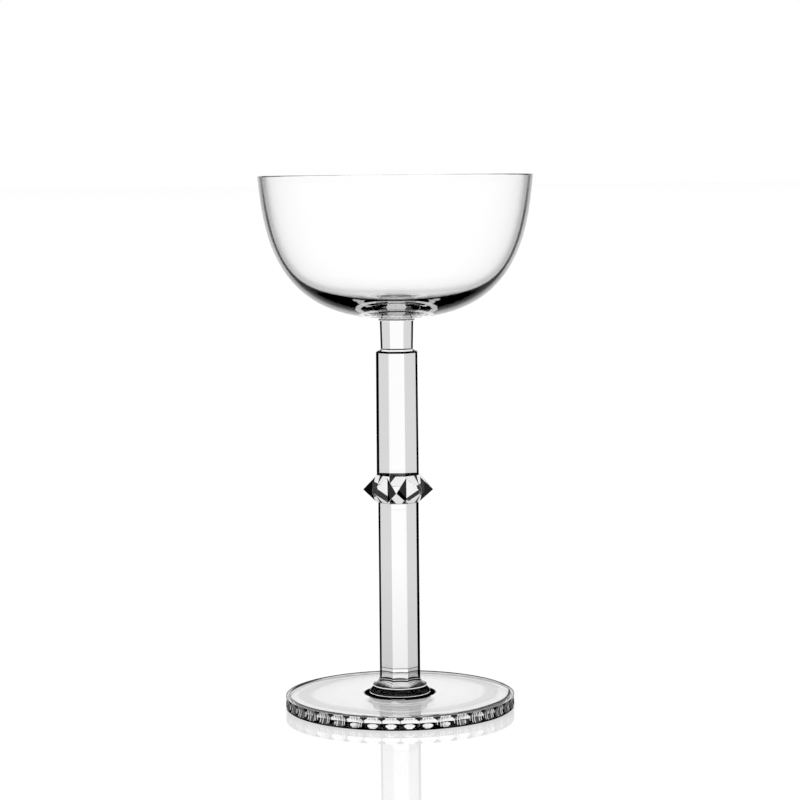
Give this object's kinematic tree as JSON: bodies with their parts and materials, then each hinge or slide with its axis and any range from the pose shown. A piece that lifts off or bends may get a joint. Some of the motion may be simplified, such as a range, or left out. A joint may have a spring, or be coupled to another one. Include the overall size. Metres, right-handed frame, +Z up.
{
  "type": "goblet",
  "caption": "Clear glass goblet with a thin round coupe bowl, a cut faceted stem with a diamond-point knop, round collars and a flat foot with a thumb-cut edge.",
  "frame": {"origin": "middle of the flat underside of the foot", "axes": "+Z up the stem to the bowl's rim; a flat of the stem faces about -Y, the side the picture shows"},
  "size_m": [0.1002, 0.1002, 0.196],
  "materials": {
    "cut_crystal": "clear crystal glass, cut and polished bright",
    "blown_crystal": "clear thin crystal glass, blown and fire-polished"
  },
  "bodies": {
    "root": {"foot": "cut_crystal", "lower_collar": "cut_crystal", "upper_collar": "cut_crystal", "lower_stem": "cut_crystal", "knop": "cut_crystal", "upper_stem": "cut_crystal", "neck": "cut_crystal", "bowl": "blown_crystal"}
  },
  "joints": []
}
